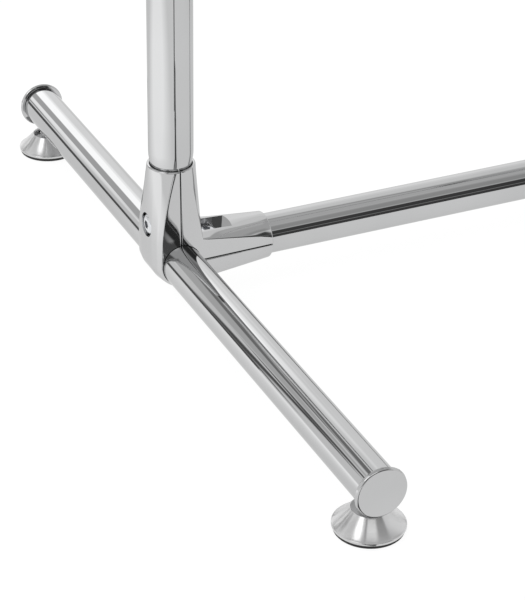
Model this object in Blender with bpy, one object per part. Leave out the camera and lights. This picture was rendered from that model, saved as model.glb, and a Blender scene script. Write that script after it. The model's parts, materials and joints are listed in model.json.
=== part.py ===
"""Chrome valet stand: an H-shaped tube base on four levelling feet and a height-adjustable upper frame.

Metres, +Z up, front is -Y. The origin lies on the floor under the middle of the base.
Run it with: blender --background --python part.py
"""

import math

import bmesh
import bpy
from mathutils import Matrix, Vector

# Driving dimensions
CLEARANCE = 0.0003
ROUND = 20
SMALL_ROUND = 14
FINE_ROUND = 10
HOLE_TURN = math.radians(7)
BASE_WIDTH = 0.450
BASE_TUBE_LENGTH = 0.502
UPRIGHT_Y = 0.0215
TUBE_RADIUS = 0.0125
TUBE_WALL = 0.0015
UPRIGHT_RADIUS = 0.0135
UPRIGHT_WALL = 0.0012
UPPER_RADIUS = 0.0110
UPPER_WALL = 0.0012
UPRIGHT_TOP = 0.560
FRAME_TOP = 1.000
FRAME_BOTTOM = 0.120
BEND_RADIUS = 0.070

# Levelling foot, heights above the floor
PAD_RADIUS = 0.0190
PAD_HEIGHT = 0.0019
CONE_RADIUS = 0.0198
CONE_RIM = 0.0013
CONE_TOP = 0.0133
CONE_TOP_RADIUS = 0.0104
COLLAR_RADIUS = 0.0050
COLLAR_HEIGHT = 0.0016
STUD_RADIUS = 0.0040
STUD_BOTTOM = 0.0060
STUD_TOP = 0.0355
FOOT_GAP = 0.0037
TUBE_AXIS = CONE_TOP + FOOT_GAP + TUBE_RADIUS
FOOT_INSET = 0.0095

# End caps and the plugs behind them
FLANGE_RADIUS = 0.0150
FLANGE_THICKNESS = 0.0030
PLUG_LENGTH = 0.022
SPIGOT_RADIUS = 0.0050
SPIGOT_LENGTH = 0.0030

# Base connector, distances from the crossing of the three tube axes
SOCKET_END = 0.0615
SOCKET_START = 0.0360
ROOT = 0.0150
RIM_RADIUS = 0.0146
FRONT_FACE = 0.0158
CREASE = 0.0142
INNER_FLAT = 0.0156
OUTER_FACE = 0.0164
OUTER_CORNER = 0.0156
WING_LIP = 0.0170
SCREW_OFFSET = 0.0230
SCREW_RADIUS = 0.0030
HEAD_RADIUS = 0.0065
HEAD_HEIGHT = 0.0035
SEAT_DEPTH = 0.0083
COUNTERBORE_RADIUS = 0.0075
NUT_RADIUS = 0.0058
NUT_HEIGHT = 0.0045
NUT_FLOOR = 0.0110
SIDE_SEAT = 0.0125

# Height clamp, lengths from the axis of the upright
COLLAR_CENTRE = UPRIGHT_TOP - 0.016
COLLAR_OUTER = 0.0185
COLLAR_HALF_LENGTH = 0.012
BOSS_RADIUS = 0.0080
BOSS_END = 0.0255
LOCK_STUD_RADIUS = 0.0030
LOCK_HOLE_RADIUS = LOCK_STUD_RADIUS + CLEARANCE
LOCK_PASSAGE_RADIUS = 0.0036
KNOB_FRONT = 0.0275
KNOB_REACH = 0.046
KNOB_RADIUS = 0.0155
KNOB_LOBE = 0.0018

# Trouser bar and jacket hanger, heights above the floor
TROUSER_BAR_Z = 0.880
TROUSER_BAR_RADIUS = 0.0060
HANGER_RADIUS = 0.0080
HANGER_PEAK = 1.090
HANGER_HALF_WIDTH = 0.205
HANGER_DROP = 0.052
HANGER_FORWARD = 0.030
HANGER_WALL = 0.0012
BAR_CLAMP_OUTER = 0.0155
BAR_CLAMP_HALF_LENGTH = 0.011
BAR_SOCKET_RADIUS = 0.0090
BAR_SOCKET_END = 0.028
BRACKET_HALF_LENGTH = 0.016

FINISHES = {
    "chrome": ((0.62, 0.63, 0.64), 0.05, 1.0),
    "cast_chrome": ((0.60, 0.61, 0.62), 0.07, 1.0),
    "turned_aluminium": ((0.72, 0.72, 0.72), 0.32, 1.0),
    "zinc_steel": ((0.62, 0.63, 0.64), 0.28, 1.0),
    "black_rubber": ((0.02, 0.02, 0.02), 0.80, 0.0),
    "black_plastic": ((0.03, 0.03, 0.03), 0.45, 0.0),
}


def clear_scene():
    for old in list(bpy.data.objects):
        bpy.data.objects.remove(old)


def own_material(name, finish):
    colour, roughness, metallic = FINISHES[finish]
    result = bpy.data.materials.new(f"{name}_{finish}")
    result.use_nodes = True
    shader = result.node_tree.nodes["Principled BSDF"]
    shader.inputs["Base Color"].default_value = (*colour, 1.0)
    shader.inputs["Roughness"].default_value = roughness
    shader.inputs["Metallic"].default_value = metallic
    result.diffuse_color = (*colour, 1.0)
    return result


def add_object(name, mesh_data, finish, parent=None, matrix=None):
    """One sub-part. Its matrix places it in its parent's space."""
    bmesh.ops.recalc_face_normals(mesh_data, faces=mesh_data.faces)
    mesh = bpy.data.meshes.new(name)
    mesh_data.to_mesh(mesh)
    mesh_data.free()
    mesh.shade_smooth()
    mesh.set_sharp_from_angle(angle=math.radians(30))
    result = bpy.data.objects.new(name, mesh)
    bpy.context.scene.collection.objects.link(result)
    if finish:
        mesh.materials.append(own_material(name, finish))
    result.parent = parent
    result.matrix_local = matrix or Matrix()
    return result


def add_pivot(name, location):
    pivot = bpy.data.objects.new(name, None)
    pivot.empty_display_size = 0.02
    pivot.location = location
    bpy.context.scene.collection.objects.link(pivot)
    return pivot


def combine(target, tool_data, operation):
    tool = add_object(f"tool_{len(target.modifiers)}_{target.name}", tool_data, None, target)
    tool.display_type = "WIRE"
    tool.hide_render = True
    modifier = target.modifiers.new(operation.lower(), "BOOLEAN")
    modifier.operation = operation
    modifier.solver = "EXACT"
    modifier.object = tool


def cut(target, cutter_data):
    """Take the cutter's solids out of the target."""
    combine(target, cutter_data, "DIFFERENCE")


def join(target, solid_data):
    """Add a solid that overlaps the target."""
    combine(target, solid_data, "UNION")


def along(axis, location=(0, 0, 0)):
    """The matrix that turns local +Z to the given direction and moves to the location."""
    turn = Vector(axis).to_track_quat("Z", "Y").to_matrix().to_4x4()
    return Matrix.Translation(location) @ turn


def revolve(profile, segments=ROUND, closed=False, matrix=None, into=None):
    """Turn a (radius, height) outline about local Z. A closed outline makes a ring with a bore."""
    mesh_data = into or bmesh.new()
    matrix = matrix or Matrix()
    rings = []
    for radius, height in profile:
        count = segments if radius > 0 else 1
        angles = [2 * math.pi * step / segments for step in range(count)]
        points = [(radius * math.cos(a), radius * math.sin(a), height) for a in angles]
        rings.append([mesh_data.verts.new(matrix @ Vector(point)) for point in points])
    pairs = list(zip(rings, rings[1:] + rings[:1] if closed else rings[1:]))
    for first, second in pairs:
        for step in range(segments):
            after = (step + 1) % segments
            corners = [first[step % len(first)], first[after % len(first)]]
            corners += [second[after % len(second)], second[step % len(second)]]
            corners = list(dict.fromkeys(corners))
            if len(corners) > 2:
                mesh_data.faces.new(corners)
    return mesh_data


def rod(radius, bottom, top, segments=ROUND, matrix=None, into=None):
    """A solid cylinder, turned a little so that its edges never meet another solid's edges."""
    matrix = (matrix or Matrix()) @ Matrix.Rotation(HOLE_TURN, 4, "Z")
    return revolve([(0, bottom), (radius, bottom), (radius, top), (0, top)], segments, False, matrix, into)


def ring(outer, inner, bottom, top, segments=ROUND, matrix=None):
    outline = [(inner, bottom), (outer, bottom), (outer, top), (inner, top)]
    return revolve(outline, segments, True, matrix)


def barrel(radius, half, matrix=None):
    """A solid cylinder about its middle, with a small bevel at both rims."""
    bevel = 0.001
    outline = [(0, -half), (radius - bevel, -half), (radius, bevel - half)]
    outline += [(radius, half - bevel), (radius - bevel, half), (0, half)]
    return revolve(outline, ROUND, False, matrix)


def prism(corners, depth, matrix, into):
    """A straight solid under a flat outline, from local z = 0 up to depth."""
    low = [into.verts.new(matrix @ Vector((x, y, 0))) for x, y in corners]
    high = [into.verts.new(matrix @ Vector((x, y, depth))) for x, y in corners]
    into.faces.new(list(reversed(low)))
    into.faces.new(high)
    for index in range(len(corners)):
        after = (index + 1) % len(corners)
        into.faces.new([low[index], low[after], high[after], high[index]])
    return into


def hexagon(radius):
    angles = [math.radians(60 * step) for step in range(6)]
    return [(radius * math.cos(a), radius * math.sin(a)) for a in angles]


def loft(rings):
    """Skin rings of equal length and close both ends."""
    mesh_data = bmesh.new()
    placed = [[mesh_data.verts.new(point) for point in points] for points in rings]
    for first, second in zip(placed, placed[1:]):
        for index in range(len(first)):
            after = (index + 1) % len(first)
            mesh_data.faces.new([first[index], first[after], second[after], second[index]])
    mesh_data.faces.new(list(reversed(placed[0])))
    mesh_data.faces.new(placed[-1])
    return mesh_data


def bent_tube(path, outer, inner, segments=SMALL_ROUND):
    """A tube along a path in space, open through its bore."""
    mesh_data = bmesh.new()
    rings = []
    for index, point in enumerate(path):
        before = path[max(index - 1, 0)]
        after = path[min(index + 1, len(path) - 1)]
        tangent = (after - before).normalized()
        side = tangent.cross(Vector((0, 1, 0))).normalized()
        other = tangent.cross(side)
        for radius in (outer, inner):
            angles = [2 * math.pi * step / segments for step in range(segments)]
            points = [point + radius * (math.cos(a) * side + math.sin(a) * other) for a in angles]
            rings.append([mesh_data.verts.new(place) for place in points])
    walls = list(zip(rings[0::2], rings[2::2])) + list(zip(rings[1::2], rings[3::2]))
    walls += [(rings[0], rings[1]), (rings[-2], rings[-1])]
    for first, second in walls:
        for step in range(segments):
            after = (step + 1) % segments
            mesh_data.faces.new([first[step], first[after], second[after], second[step]])
    return mesh_data


def arc(centre, radius, start, end, steps):
    """(u, v) points on an arc, angles in degrees."""
    angles = [math.radians(start + (end - start) * step / steps) for step in range(steps + 1)]
    return [(centre[0] + radius * math.cos(a), centre[1] + radius * math.sin(a)) for a in angles]


# Base


def make_base_tube(side, x):
    half = BASE_TUBE_LENGTH / 2
    matrix = along((0, 1, 0), (x, 0, TUBE_AXIS))
    inner = TUBE_RADIUS - TUBE_WALL
    tube = add_object(f"base_tube_{side}", ring(TUBE_RADIUS, inner, -half, half), "chrome", None, matrix)
    holes = bmesh.new()
    for end in (-1, 1):
        down = matrix.inverted() @ along((0, 0, -1), (x, end * (half - FOOT_INSET), TUBE_AXIS))
        rod(STUD_RADIUS + 0.0005, 0.006, 0.020, FINE_ROUND, down, holes)
    cut(tube, holes)


def make_end_cap(name, x, end):
    """Chrome button on the tube's end, with a rounded edge and a short spigot behind."""
    edge = FLANGE_THICKNESS / 2
    outline = [(0, -SPIGOT_LENGTH), (SPIGOT_RADIUS, -SPIGOT_LENGTH), (SPIGOT_RADIUS, CLEARANCE)]
    outline += arc((FLANGE_RADIUS - edge, edge + CLEARANCE), edge, -90, 90, 4)
    outline += [(FLANGE_RADIUS - 1.6 * edge, FLANGE_THICKNESS), (0, FLANGE_THICKNESS)]
    place = (x, end * BASE_TUBE_LENGTH / 2, TUBE_AXIS)
    add_object(f"end_cap_{name}", revolve(outline), "cast_chrome", None, along((0, end, 0), place))


def make_end_plug(name, x, end):
    """Plug inside the tube. The levelling foot's stud screws up into it."""
    radius = TUBE_RADIUS - TUBE_WALL - CLEARANCE
    bore = SPIGOT_RADIUS + CLEARANCE
    depth = SPIGOT_LENGTH + CLEARANCE
    outline = [(0, -PLUG_LENGTH), (radius, -PLUG_LENGTH), (radius, 0), (bore, 0), (bore, -depth), (0, -depth)]
    matrix = along((0, end, 0), (x, end * BASE_TUBE_LENGTH / 2, TUBE_AXIS))
    plug = add_object(f"end_plug_{name}", revolve(outline, SMALL_ROUND), "black_plastic", None, matrix)
    hole = matrix.inverted() @ along((0, 0, 1), (x, end * (BASE_TUBE_LENGTH / 2 - FOOT_INSET), TUBE_AXIS))
    cut(plug, rod(STUD_RADIUS + CLEARANCE, -0.014, 0.0075, FINE_ROUND, hole))


def make_foot(name, x, end):
    pivot = add_pivot(f"foot_axis_{name}", (x, end * (BASE_TUBE_LENGTH / 2 - FOOT_INSET), 0))
    rim_low = PAD_HEIGHT + CLEARANCE
    rim_high = rim_low + CONE_RIM
    bore = STUD_RADIUS + CLEARANCE
    floor = STUD_BOTTOM - CLEARANCE
    cone = [(0, rim_low), (CONE_RADIUS - 0.0004, rim_low), (CONE_RADIUS, rim_low + 0.0004)]
    cone += [(CONE_RADIUS, rim_high), (CONE_RADIUS - 0.0005, rim_high + 0.0004)]
    cone += [(CONE_TOP_RADIUS + 0.0004, CONE_TOP - 0.0003), (CONE_TOP_RADIUS - 0.0004, CONE_TOP)]
    cone += [(COLLAR_RADIUS, CONE_TOP), (COLLAR_RADIUS, CONE_TOP + COLLAR_HEIGHT)]
    cone += [(bore, CONE_TOP + COLLAR_HEIGHT), (bore, floor), (0, floor)]
    add_object(f"foot_cone_{name}", revolve(cone), "turned_aluminium", pivot)
    pad = [(0, 0), (PAD_RADIUS - 0.0006, 0), (PAD_RADIUS, 0.0006), (PAD_RADIUS, PAD_HEIGHT), (0, PAD_HEIGHT)]
    add_object(f"foot_pad_{name}", revolve(pad), "black_rubber", pivot)
    chamfer = 0.0007
    stud = [(0, STUD_BOTTOM), (STUD_RADIUS, STUD_BOTTOM), (STUD_RADIUS, STUD_TOP - chamfer)]
    stud += [(STUD_RADIUS - chamfer, STUD_TOP), (0, STUD_TOP)]
    add_object(f"foot_stud_{name}", revolve(stud, FINE_ROUND), "zinc_steel", pivot)


def make_cross_tube():
    half = BASE_WIDTH / 2 - SOCKET_START - CLEARANCE
    matrix = along((1, 0, 0), (0, UPRIGHT_Y, TUBE_AXIS))
    add_object("cross_tube", ring(TUBE_RADIUS, TUBE_RADIUS - TUBE_WALL, -half, half), "chrome", None, matrix)


# Base connector: two die-cast shells that clamp the base tube, the upright and the cross tube


def spread(points, steps):
    """Points along a polyline, with the same number of steps on every stretch."""
    result = []
    for (u1, v1), (u2, v2) in zip(points, points[1:]):
        result += [(u1 + (u2 - u1) * k / steps, v1 + (v2 - v1) * k / steps) for k in range(steps)]
    return result + [points[-1]]


def rim_section(angles, steps):
    """Points on the socket's round rim between the given angles from the front."""
    result = spread([(angle, 0) for angle in angles], steps)
    return [(RIM_RADIUS * math.cos(a), RIM_RADIUS * math.sin(a)) for a, _ in result]


def mixed(first, second, weight):
    return [(a + (c - a) * weight, b + (d - b) * weight) for (a, b), (c, d) in zip(first, second)]


def both_sides(half):
    """Mirror a front half section, given from the seam to the middle, to the back."""
    return [(-y, h) for y, h in half] + [(y, h) for y, h in reversed(half[:-1])]


def shell_matrix(hand):
    """From the connector's frame, +X towards the stand's middle, to the world."""
    place = Matrix.Translation((-hand * BASE_WIDTH / 2, UPRIGHT_Y, TUBE_AXIS))
    return place @ Matrix.Diagonal((hand, 1, 1, 1))


def inner_shell_rings(steps=3):
    """From the upright's rim through the mitre of the L to the cross tube's rim."""
    seam = CLEARANCE / 2
    root = [(FRONT_FACE, seam), (FRONT_FACE, CREASE), (0.0098, INNER_FLAT), (0, INNER_FLAT)]
    root = spread(root, steps)
    angles = [math.asin(seam / RIM_RADIUS), math.radians(24), math.radians(61), math.radians(90)]
    rim = rim_section(angles, steps)
    upright = [(h, y, SOCKET_END) for y, h in both_sides(rim)]
    mitre = [(h, y, h) for y, h in both_sides(root)]
    cross = [(SOCKET_END, y, h) for y, h in both_sides(rim)]
    return [upright, mitre, cross]


def outer_shell_rings(steps=2):
    """From the upright's rim, round the outside of the base tube, to the cross tube's rim."""
    seam = CLEARANCE / 2
    web = 0.0155
    upright_root = [(FRONT_FACE, seam), (web, 0.0122), (WING_LIP, 0.0127)]
    upright_root += [(0.0146, 0.0154), (0.0080, OUTER_FACE), (0, OUTER_FACE)]
    upright_root = spread(upright_root, steps)
    angles = [math.asin(seam / RIM_RADIUS)] + [math.radians(a) for a in (14, 15, 40, 65, 90)]
    upright_rim = rim_section(angles, steps)
    rings = []
    for share in (1, 0.75, 0.5, 0.25, 0):
        height = ROOT + (SOCKET_END - ROOT) * share
        section = mixed(upright_root, upright_rim, share**1.4)
        rings.append([(-h, y, height) for y, h in both_sides(section)])
    for angle in range(0, 91, 15):
        bulge = (OUTER_FACE - OUTER_CORNER) * math.cos(math.radians(2 * angle)) ** 2
        outside = OUTER_CORNER + bulge
        wrap = [(WING_LIP, 0.0015), (WING_LIP, 0.0122), (WING_LIP, 0.0137)]
        wrap += [(0.0146, outside - 0.0010), (0.0080, outside), (0, outside)]
        wrap = spread(wrap, steps)
        turn = math.radians(angle)
        rings.append([(-h * math.cos(turn), y, -h * math.sin(turn)) for y, h in both_sides(wrap)])
    cross_root = [(FRONT_FACE, seam), (FRONT_FACE, 0.0070), (0.0152, 0.0105)]
    cross_root += [(0.0130, 0.0140), (0.0080, OUTER_FACE), (0, OUTER_FACE)]
    cross_root = spread(cross_root, steps)
    angles = [math.asin(seam / RIM_RADIUS)] + [math.radians(a) for a in (22, 38, 54, 70, 90)]
    cross_rim = rim_section(angles, steps)
    for share in (0, 0.5, 1):
        reach = ROOT + (SOCKET_END - ROOT) * share
        section = mixed(cross_root, cross_rim, share)
        rings.append([(reach, y, -h) for y, h in both_sides(section)])
    return rings


def tube_bores():
    """Room for the three tubes, in the connector's frame."""
    bore = TUBE_RADIUS + CLEARANCE
    cutters = rod(bore, -0.04, 0.04, ROUND, along((0, 1, 0)))
    rod(bore, SOCKET_START, SOCKET_END + 0.01, ROUND, Matrix(), cutters)
    rod(bore, SOCKET_START, SOCKET_END + 0.01, ROUND, along((1, 0, 0)), cutters)
    return cutters


def outer_shell_cutters():
    """Tube bores, the side screw's counterbored hole, and the top screw's hole and nut pocket."""
    hole = SCREW_RADIUS + CLEARANCE
    stepped = [(0, -0.002), (hole, -0.002), (hole, SIDE_SEAT), (COUNTERBORE_RADIUS, SIDE_SEAT)]
    stepped += [(COUNTERBORE_RADIUS, 0.03), (0, 0.03)]
    side = revolve(stepped, SMALL_ROUND, False, along((-1, 0, 0), (0, 0, SCREW_OFFSET)))
    down = along((0, 0, -1), (SCREW_OFFSET, 0, 0))
    top = rod(hole, -0.002, NUT_FLOOR + 0.001, FINE_ROUND, down)
    pocket = hexagon(NUT_RADIUS + CLEARANCE)
    nut = prism(pocket, 0.02, down @ Matrix.Translation((0, 0, NUT_FLOOR)), bmesh.new())
    return [tube_bores(), side, top, nut]


def inner_shell_cutters():
    """Tube bores, and for each arm the open pocket and the screw hole through its floor."""
    hole = SCREW_RADIUS + CLEARANCE
    near, bottom_far, top_far, mouth = 0.0155, 0.0300, 0.0370, 0.0300
    slope = (top_far - bottom_far) / (INNER_FLAT - SEAT_DEPTH)
    far = bottom_far + slope * (mouth - SEAT_DEPTH)
    outline = [(near, SEAT_DEPTH), (bottom_far, SEAT_DEPTH), (far, mouth), (near, mouth)]
    width = 0.0146
    across = Matrix(((1, 0, 0, 0), (0, 0, 1, -width / 2), (0, 1, 0, 0), (0, 0, 0, 1)))
    diagonal = Matrix(((0, 0, 1, 0), (0, 1, 0, 0), (1, 0, 0, 0), (0, 0, 0, 1)))
    cutters = [tube_bores()]
    for swap in (Matrix(), diagonal):
        cutters.append(prism(outline, width, swap @ across, bmesh.new()))
        place = swap @ Matrix.Translation((SCREW_OFFSET, 0, 0))
        cutters.append(rod(hole, -0.002, SEAT_DEPTH + 0.001, FINE_ROUND, place))
    return cutters


def in_frame(mesh_data, hand):
    """Move a mesh made in the connector's frame to the world, mirrored on the right."""
    bmesh.ops.transform(mesh_data, matrix=shell_matrix(hand), verts=mesh_data.verts)
    bmesh.ops.recalc_face_normals(mesh_data, faces=mesh_data.faces)
    return mesh_data


def make_connector(side, hand):
    for place, rings, cutters in (
        ("outer", outer_shell_rings(), outer_shell_cutters()),
        ("inner", inner_shell_rings(), inner_shell_cutters()),
    ):
        name = f"connector_{place}_shell_{side}"
        shell = add_object(name, in_frame(loft(rings), hand), "cast_chrome")
        for cutter in cutters:
            cut(shell, in_frame(cutter, hand))


def screw_mesh(length):
    """Socket head cap screw, its seat at z = 0 and its head above."""
    edge = 0.0012
    outline = [(0, -length), (SCREW_RADIUS, -length), (SCREW_RADIUS, 0), (HEAD_RADIUS, 0)]
    outline += arc((HEAD_RADIUS - edge, HEAD_HEIGHT - edge), edge, 0, 90, 2) + [(0, HEAD_HEIGHT)]
    return revolve(outline, FINE_ROUND)


def make_fasteners(side, hand):
    """The side screw runs through the shells above the base tube, the top screw beside it."""
    frame = shell_matrix(hand)
    outer_seat = -SIDE_SEAT - CLEARANCE
    pocket_seat = SEAT_DEPTH + CLEARANCE
    nut_seat = -NUT_FLOOR - CLEARANCE
    side_row = ("side", (-1, 0, 0), (outer_seat, 0, SCREW_OFFSET), 0.0252, (pocket_seat, 0, SCREW_OFFSET))
    top_row = ("top", (0, 0, 1), (SCREW_OFFSET, 0, pocket_seat), 0.0236, (SCREW_OFFSET, 0, nut_seat))
    for name, axis, place, length, nut_place in (side_row, top_row):
        direction = Vector((axis[0] * hand, axis[1], axis[2]))
        matrix = along(direction, frame @ Vector(place))
        screw = add_object(f"clamp_screw_{name}_{side}", screw_mesh(length), "zinc_steel", None, matrix)
        socket = prism(hexagon(0.0029), 0.01, Matrix.Translation((0, 0, HEAD_HEIGHT - 0.0024)), bmesh.new())
        cut(screw, socket)
        nut = prism(hexagon(NUT_RADIUS), NUT_HEIGHT, Matrix(), bmesh.new())
        matrix = along(-direction, frame @ Vector(nut_place))
        nut = add_object(f"clamp_nut_{name}_{side}", nut, "zinc_steel", None, matrix)
        cut(nut, rod(SCREW_RADIUS + CLEARANCE, -0.002, NUT_HEIGHT + 0.002, FINE_ROUND))


# Uprights and height clamps


def make_lower_upright(side, x):
    """Outer tube with its lower end drawn in to the connector's bore."""
    bottom = TUBE_AXIS + SOCKET_START + CLEARANCE
    neck = TUBE_AXIS + SOCKET_END
    steps = 4
    outer = []
    for step in range(steps + 1):
        share = step / steps
        swell = (UPRIGHT_RADIUS - TUBE_RADIUS) * math.sin(math.pi / 2 * share)
        outer.append((TUBE_RADIUS + swell, neck + 0.009 * share))
    inner = [(radius - UPRIGHT_WALL, height + 0.001) for radius, height in reversed(outer[::2])]
    outline = [(TUBE_RADIUS, bottom)] + outer + [(UPRIGHT_RADIUS, UPRIGHT_TOP)]
    outline += [(UPRIGHT_RADIUS - UPRIGHT_WALL, UPRIGHT_TOP)] + inner + [(TUBE_RADIUS - UPRIGHT_WALL, bottom)]
    matrix = Matrix.Translation((x, UPRIGHT_Y, 0))
    tube = add_object(f"lower_upright_{side}", revolve(outline, ROUND, True), "chrome", None, matrix)
    passage = along((0, 1, 0), (0, 0, COLLAR_CENTRE))
    cut(tube, rod(LOCK_PASSAGE_RADIUS, 0.006, 0.020, FINE_ROUND, passage))


def make_guide_bush(side, x):
    """Plastic lining in the mouth of the lower upright."""
    outer = UPRIGHT_RADIUS - UPRIGHT_WALL - CLEARANCE
    inner = UPPER_RADIUS + CLEARANCE
    flange = UPRIGHT_RADIUS
    outline = [(inner, -0.040), (outer, -0.040), (outer, CLEARANCE), (flange, CLEARANCE)]
    outline += [(flange, 0.0018), (inner, 0.0018)]
    matrix = Matrix.Translation((x, UPRIGHT_Y, UPRIGHT_TOP))
    bush = add_object(f"guide_bush_{side}", revolve(outline, ROUND, True), "black_plastic", None, matrix)
    passage = along((0, 1, 0), (0, 0, COLLAR_CENTRE - UPRIGHT_TOP))
    cut(bush, rod(LOCK_PASSAGE_RADIUS, 0.006, 0.020, FINE_ROUND, passage))


def make_height_collar(side, x):
    """Clamp ring round the lower upright, with a threaded boss at the back."""
    matrix = Matrix.Translation((x, UPRIGHT_Y, COLLAR_CENTRE))
    ring_data = barrel(COLLAR_OUTER, COLLAR_HALF_LENGTH)
    collar = add_object(f"height_collar_{side}", ring_data, "cast_chrome", None, matrix)
    back = along((0, 1, 0))
    join(collar, rod(BOSS_RADIUS, 0.004, BOSS_END, SMALL_ROUND, back))
    cut(collar, rod(UPRIGHT_RADIUS + CLEARANCE, -0.02, 0.02))
    cut(collar, rod(LOCK_HOLE_RADIUS, 0.010, 0.03, FINE_ROUND, back))


def make_lock_knob(side, x):
    """Six-lobed knob on a stud that presses on the upper tube."""
    pivot = add_pivot(f"lock_knob_axis_{side}", (x, UPRIGHT_Y, COLLAR_CENTRE))
    back = along((0, 1, 0))
    stud_end = KNOB_REACH - 0.006
    stud = rod(LOCK_STUD_RADIUS, UPPER_RADIUS + 0.0004, stud_end, FINE_ROUND, back)
    add_object(f"lock_stud_{side}", stud, "zinc_steel", pivot)
    sections = [(KNOB_FRONT, 0.62), (KNOB_FRONT + 0.002, 0.68), (KNOB_FRONT + 0.005, 1)]
    sections += [(KNOB_REACH - 0.002, 1), (KNOB_REACH, 0.9)]
    rings = []
    for reach, scale in sections:
        ring_points = []
        for step in range(36):
            angle = math.radians(10 * step)
            radius = scale * (KNOB_RADIUS + KNOB_LOBE * math.cos(6 * angle))
            ring_points.append(back @ Vector((radius * math.cos(angle), radius * math.sin(angle), reach)))
        rings.append(ring_points)
    knob = add_object(f"lock_knob_{side}", loft(rings), "black_plastic", pivot)
    cut(knob, rod(LOCK_HOLE_RADIUS, 0.020, stud_end + CLEARANCE, FINE_ROUND, back))


# Upper frame


def make_upper_frame_tube():
    half = BASE_WIDTH / 2
    corner = arc((half - BEND_RADIUS, FRAME_TOP - BEND_RADIUS), BEND_RADIUS, 0, 90, 6)
    right = [(half, FRAME_BOTTOM)] + corner
    left = [(-x, z) for x, z in reversed(right)]
    path = [Vector((x, UPRIGHT_Y, z)) for x, z in right + left]
    add_object("upper_frame_tube", bent_tube(path, UPPER_RADIUS, UPPER_RADIUS - UPPER_WALL), "chrome")


def make_hanger():
    """Bracket on the top rail, post and arched shoulder tube with rounded end plugs."""
    rail = (0, UPRIGHT_Y, FRAME_TOP)
    sleeve = barrel(BAR_CLAMP_OUTER, BRACKET_HALF_LENGTH, along((1, 0, 0)))
    bracket = add_object("hanger_bracket", sleeve, "cast_chrome")
    bracket.location = rail
    join(bracket, rod(0.0115, 0.005, 0.034, SMALL_ROUND))
    cut(bracket, rod(UPPER_RADIUS + CLEARANCE, -0.03, 0.03, ROUND, along((1, 0, 0))))
    cut(bracket, rod(HANGER_RADIUS + CLEARANCE, 0.0130, 0.040, SMALL_ROUND))
    post_top = HANGER_PEAK - HANGER_RADIUS - CLEARANCE
    post = ring(HANGER_RADIUS, HANGER_RADIUS - 0.0015, FRAME_TOP + 0.0133, post_top, SMALL_ROUND)
    add_object("hanger_post", post, "chrome", None, Matrix.Translation((0, UPRIGHT_Y, 0)))
    path = []
    for step in range(-6, 7):
        share = step / 6
        drop = HANGER_DROP * share**2
        forward = HANGER_FORWARD * share**2
        path.append(Vector((HANGER_HALF_WIDTH * share, UPRIGHT_Y - forward, HANGER_PEAK - drop)))
    add_object("shoulder_tube", bent_tube(path, HANGER_RADIUS, HANGER_RADIUS - HANGER_WALL), "chrome")
    for side, end, inner_point in (("left", path[0], path[1]), ("right", path[-1], path[-2])):
        outline = [(0, -0.012), (0.0065, -0.012), (0.0065, CLEARANCE), (HANGER_RADIUS, CLEARANCE)]
        outline += arc((0, 0.0008), HANGER_RADIUS, 0, 90, 4)[:-1] + [(0, HANGER_RADIUS + 0.0008)]
        matrix = along(end - inner_point, end)
        add_object(f"shoulder_plug_{side}", revolve(outline, SMALL_ROUND), "black_plastic", None, matrix)


def make_trouser_bar():
    half = BASE_WIDTH / 2 - 0.0160
    matrix = along((1, 0, 0), (0, UPRIGHT_Y, TROUSER_BAR_Z))
    bar = ring(TROUSER_BAR_RADIUS, TROUSER_BAR_RADIUS - HANGER_WALL, -half, half, SMALL_ROUND)
    add_object("trouser_bar", bar, "chrome", None, matrix)


def make_bar_clamp(side, hand):
    """Ring round the upper tube with a socket for the trouser bar and a grub screw at the back."""
    matrix = Matrix.Translation((-hand * BASE_WIDTH / 2, UPRIGHT_Y, TROUSER_BAR_Z))
    ring_data = barrel(BAR_CLAMP_OUTER, BAR_CLAMP_HALF_LENGTH)
    clamp = add_object(f"bar_clamp_{side}", ring_data, "cast_chrome", None, matrix)
    inward = along((hand, 0, 0))
    join(clamp, rod(BAR_SOCKET_RADIUS, 0.004, BAR_SOCKET_END, SMALL_ROUND, inward))
    cut(clamp, rod(UPPER_RADIUS + CLEARANCE, -0.02, 0.02))
    cut(clamp, rod(TROUSER_BAR_RADIUS + CLEARANCE, 0.0157, 0.04, SMALL_ROUND, inward))
    cut(clamp, rod(0.0028, 0.009, 0.02, FINE_ROUND, along((0, 1, 0))))
    grub = rod(0.0025, 0.0113, 0.0163, FINE_ROUND)
    screw = add_object(f"bar_clamp_screw_{side}", grub, "zinc_steel", None, matrix @ along((0, 1, 0)))
    cut(screw, prism(hexagon(0.0014), 0.01, Matrix.Translation((0, 0, 0.0143)), bmesh.new()))


def main():
    clear_scene()
    for side, hand in (("left", 1), ("right", -1)):
        x = -hand * BASE_WIDTH / 2
        make_base_tube(side, x)
        for place, end in (("front", -1), ("back", 1)):
            make_end_cap(f"{place}_{side}", x, end)
            make_end_plug(f"{place}_{side}", x, end)
            make_foot(f"{place}_{side}", x, end)
        make_connector(side, hand)
        make_fasteners(side, hand)
        make_lower_upright(side, x)
        make_guide_bush(side, x)
        make_height_collar(side, x)
        make_lock_knob(side, x)
        make_bar_clamp(side, hand)
    make_cross_tube()
    make_upper_frame_tube()
    make_trouser_bar()
    make_hanger()


main()
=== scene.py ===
import json
import math

import bmesh
import bpy
from mathutils import Matrix, Vector


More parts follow.
